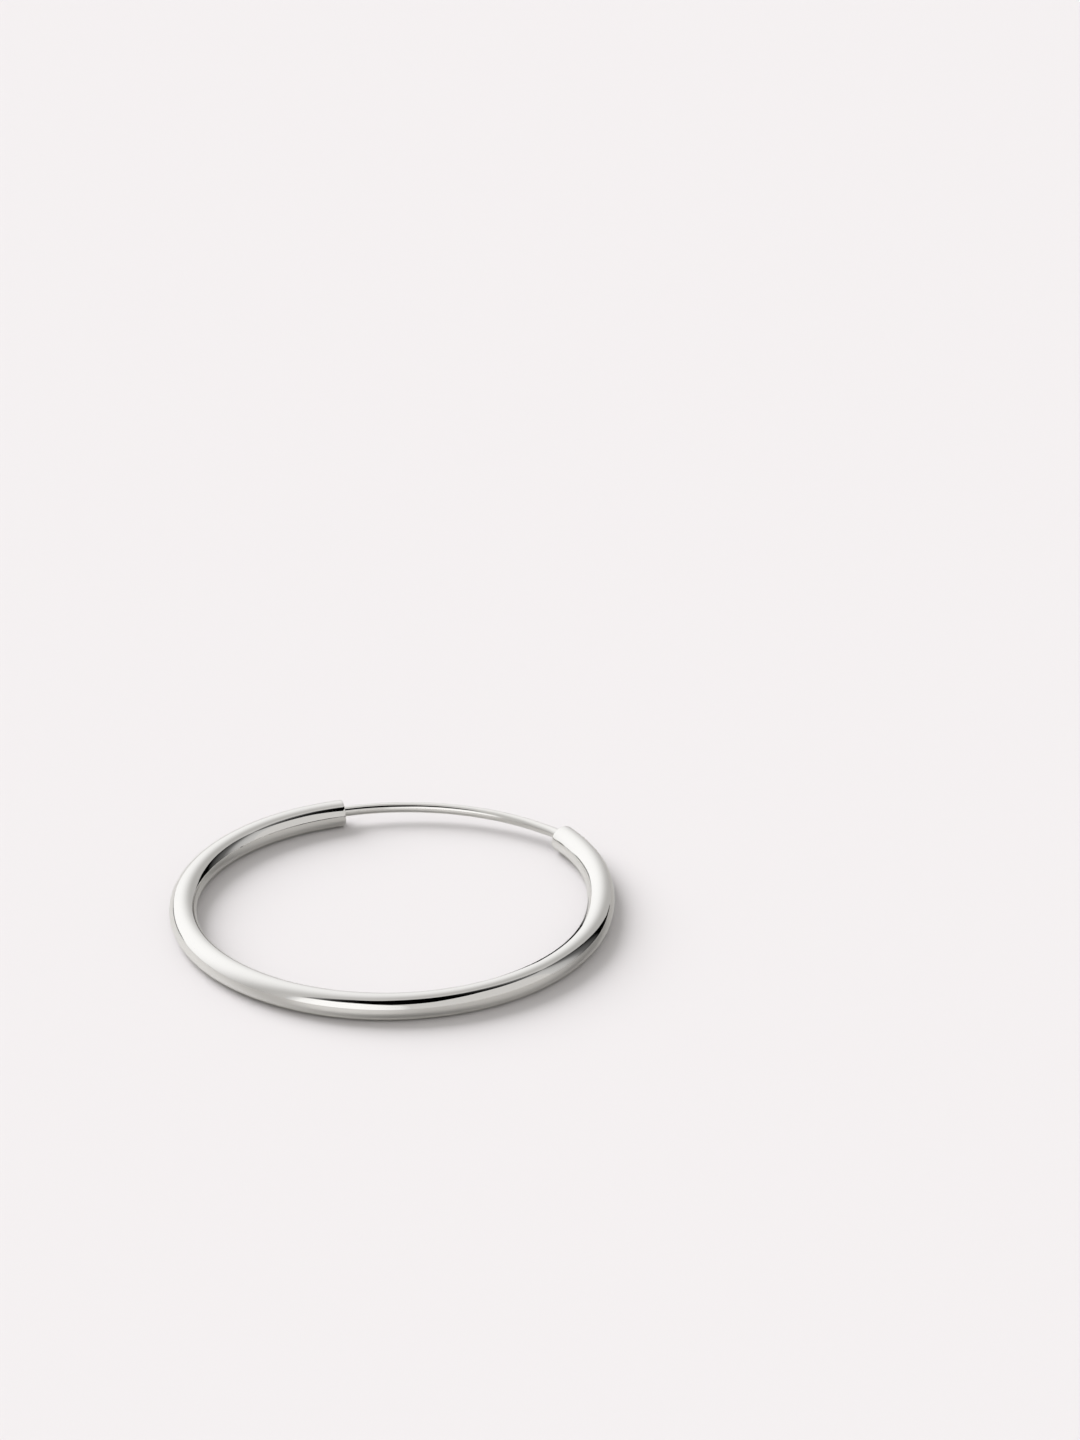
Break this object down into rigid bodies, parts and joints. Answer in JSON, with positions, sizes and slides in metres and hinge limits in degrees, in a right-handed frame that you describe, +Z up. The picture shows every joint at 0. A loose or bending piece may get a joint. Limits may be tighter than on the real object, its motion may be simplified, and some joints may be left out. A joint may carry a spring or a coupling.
{
  "type": "hoop earring",
  "caption": "Continuous hoop earring: a hollow polished white metal tube bent to a C, closed by a thin springy ear wire that plugs into the open end.",
  "frame": {"origin": "middle of the whole earring's box, on the surface that the hoop lies on", "axes": "+Z up along the hoop's own axis, +Y from the middle of the hoop towards the gap that the ear wire closes, the fixed end of the wire on the -X side"},
  "size_m": [0.032, 0.0318, 0.002],
  "materials": {
    "polished_tube": "mirror polished silver or white gold",
    "drawn_wire": "polished drawn wire",
    "turned_plug": "turned, only its face shows"
  },
  "bodies": {
    "root": {"hoop_tube": "polished_tube", "end_plug": "turned_plug", "ear_wire": "drawn_wire"}
  },
  "joints": []
}
